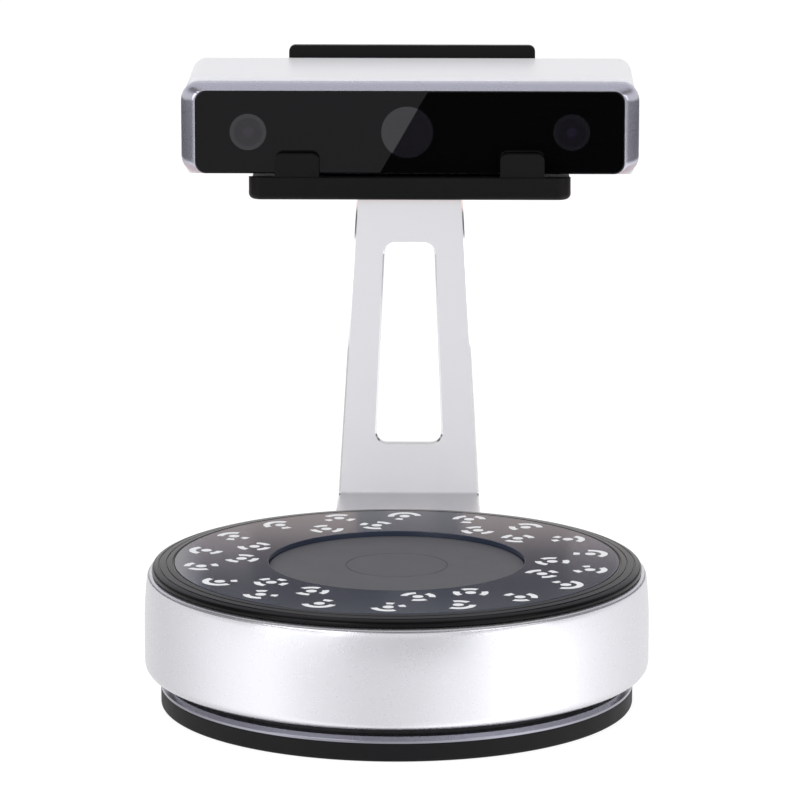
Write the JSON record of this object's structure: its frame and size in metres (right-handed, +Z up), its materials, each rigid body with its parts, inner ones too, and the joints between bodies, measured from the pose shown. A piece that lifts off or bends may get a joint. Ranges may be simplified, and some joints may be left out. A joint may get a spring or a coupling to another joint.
{
  "type": "desktop 3d scanner",
  "caption": "Motor turntable with a marker ring, a bent plate arm behind it and a bar-shaped scanning head that lifts out of a cradle on the arm.",
  "frame": {"origin": "on the turntable's axis, on the surface that the object stands on", "axes": "+Z up along the turntable's axis, +Y from the turntable to the scanning head, +X to the right seen from the turntable's free side"},
  "size_m": [0.213, 0.5715, 0.1982],
  "materials": {
    "foot_rubber": "matt moulded rubber",
    "casing_black": "fine textured",
    "trim_metal": "polished edge",
    "silver_paint": "satin silver paint",
    "screw_steel": "zinc plated",
    "deck_steel": "dark coated sheet",
    "bearing_steel": "ground",
    "motor_steel": "plain",
    "board_green": "solder mask",
    "socket_black": "moulded",
    "socket_metal": "stamped, plated",
    "platter_black": "glossy",
    "marker_glass": "printed, polished",
    "mat_rubber": "fine matt",
    "gear_plastic": "natural acetal",
    "hub_metal": "turned",
    "brass": "machined",
    "arm_aluminium": "blasted, bright edges",
    "cradle_black": "satin black",
    "shell_white": "white satin",
    "bezel_silver": "silver grey satin",
    "front_glass": "polished black acrylic",
    "frame_metal": "milled",
    "optics_black": "anodised black look",
    "lens_glass": "coated",
    "button_metal": "turned"
  },
  "bodies": {
    "turntable_base": {"base_foot": "foot_rubber", "base_tray": "casing_black", "trim_ring": "trim_metal", "shroud": "silver_paint", "base_screws": "screw_steel", "deck": "deck_steel", "deck_screws": "screw_steel", "outer_race": "bearing_steel", "bearing_balls": "bearing_steel", "motor": "motor_steel", "motor_screws": "screw_steel", "control_board": "board_green", "control_board_screws": "screw_steel", "base_socket": "socket_black", "arm": "arm_aluminium", "arm_foot_screws": "screw_steel", "arm_pads": "foot_rubber", "arm_top_screws": "screw_steel", "cradle": "cradle_black", "hook_pads": "foot_rubber", "cradle_pads": "foot_rubber"},
    "platter": {"platter": "platter_black", "marker_ring": "marker_glass", "centre_mat": "mat_rubber", "platter_gear": "gear_plastic", "spindle": "hub_metal", "inner_race": "bearing_steel", "spindle_clip": "screw_steel", "platter_screws": "screw_steel"},
    "pinion": {"pinion": "brass", "motor_shaft": "bearing_steel"},
    "head": {"head_shell": "shell_white", "bezel": "bezel_silver", "front_glass": "front_glass", "optics_frame": "frame_metal", "frame_screws": "screw_steel", "left_camera": "optics_black", "right_camera": "optics_black", "left_lens": "lens_glass", "right_lens": "lens_glass", "projector": "optics_black", "projector_lens": "lens_glass", "heat_sink": "frame_metal", "fan_frame": "socket_black", "fan_screws": "screw_steel", "main_board": "board_green", "side_board": "board_green", "head_board_screws": "screw_steel", "usb_socket": "socket_metal", "power_socket": "socket_black", "link_socket": "socket_black", "button_switch": "socket_black", "tripod_insert": "brass"},
    "fan": {"fan_rotor": "socket_black"},
    "button": {"power_button": "button_metal"}
  },
  "joints": [
    {"name": "platter_spin", "type": "hinge", "parent": "turntable_base", "child": "platter", "pos_m": [0, 0, 0], "axis": [0, 0, 1], "continuous": true},
    {"name": "pinion_spin", "type": "hinge", "parent": "turntable_base", "child": "pinion", "pos_m": [0, -0.055, 0], "axis": [0, 0, 1], "continuous": true},
    {"name": "head_lift", "type": "slide", "parent": "turntable_base", "child": "head", "axis": [0, 0, 1], "range_m": [0, 0.07]},
    {"name": "fan_spin", "type": "hinge", "parent": "head", "child": "fan", "pos_m": [0, 0.4585, 0.169], "axis": [0, 1, 0], "continuous": true},
    {"name": "power_button_press", "type": "slide", "parent": "head", "child": "button", "axis": [0, -1, 0], "range_m": [0, 0.001], "stiffness_N_per_m": 900, "springref_m": -0.0005}
  ],
  "couplings": [
    {"joint": "pinion_spin", "follows": "platter_spin", "ratio": -4.5}
  ]
}
